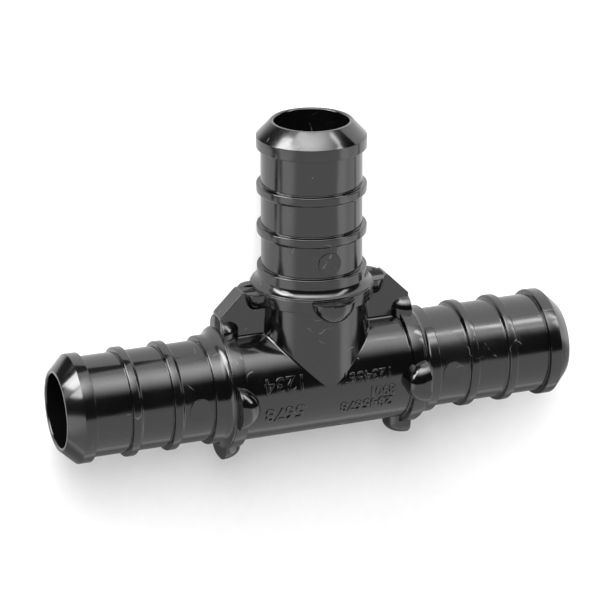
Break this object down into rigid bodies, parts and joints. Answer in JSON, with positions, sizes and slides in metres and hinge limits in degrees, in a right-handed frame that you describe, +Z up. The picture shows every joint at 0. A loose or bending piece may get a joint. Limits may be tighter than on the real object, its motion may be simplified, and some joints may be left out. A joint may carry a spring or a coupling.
{
  "type": "pex crimp tee fitting",
  "caption": "Black moulded plastic tee that joins flexible water tubing, with ribbed insert spigots, stop collars and stiffening webs.",
  "frame": {"origin": "where the axes of the run and of the branch cross, at the centre of the tee", "axes": "+X along the run towards the right port, +Y along the branch towards its mouth, +Z up, as the fitting lies on its back"},
  "size_m": [0.0594, 0.0381, 0.0168],
  "materials": {
    "black_plastic": "smooth glossy black moulding, as it comes from the mould"
  },
  "bodies": {
    "root": {"tee_fitting": "black_plastic"}
  },
  "joints": []
}
